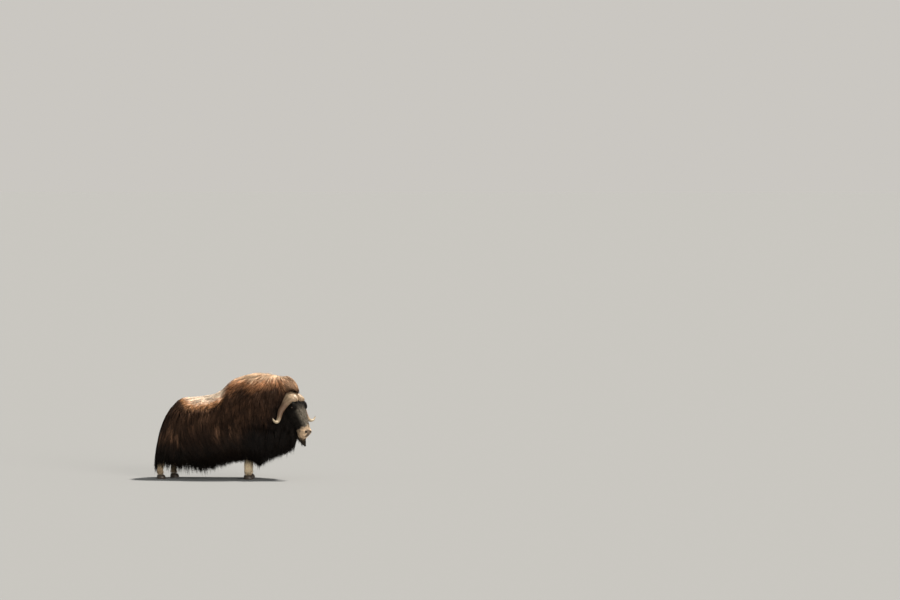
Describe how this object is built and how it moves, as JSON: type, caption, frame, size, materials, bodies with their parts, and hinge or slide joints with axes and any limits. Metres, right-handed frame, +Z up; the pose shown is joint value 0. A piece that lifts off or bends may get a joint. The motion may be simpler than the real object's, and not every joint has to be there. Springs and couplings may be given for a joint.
{
  "type": "muskox",
  "caption": "Adult muskox bull standing in its full coat, head turned to its right, with a broad horn boss, down-swept hooked horns and a skirt of long hair.",
  "frame": {"origin": "middle of the bounding box, on the ground that the soles stand on", "axes": "+X from the rump towards the chest, +Y to the animal's left, +Z up"},
  "size_m": [2.087, 0.8138, 1.3839],
  "materials": {
    "flank_coat": "long dark brown guard hair",
    "mane_coat": "long reddish brown hair",
    "face_coat": "short grey-brown hair",
    "leg_coat": "short cream hair",
    "horn": "ridged horn, cream-tan, satin",
    "hoof": "dark horn, satin",
    "eye": "wet dark brown"
  },
  "bodies": {
    "root": {"hindquarters": "flank_coat", "trunk": "flank_coat", "shoulders": "mane_coat", "neck": "mane_coat", "head": "face_coat", "beard": "flank_coat", "tail": "flank_coat", "horn_left": "horn", "horn_right": "horn", "ear_left": "face_coat", "ear_right": "face_coat", "eye_left": "eye", "eye_right": "eye", "leg_front_right": "leg_coat", "leg_front_left": "leg_coat", "leg_rear_right": "leg_coat", "leg_rear_left": "leg_coat", "hoof_front_right_outer": "hoof", "hoof_front_right_inner": "hoof", "hoof_front_left_outer": "hoof", "hoof_front_left_inner": "hoof", "hoof_rear_right_outer": "hoof", "hoof_rear_right_inner": "hoof", "hoof_rear_left_outer": "hoof", "hoof_rear_left_inner": "hoof"}
  },
  "joints": []
}
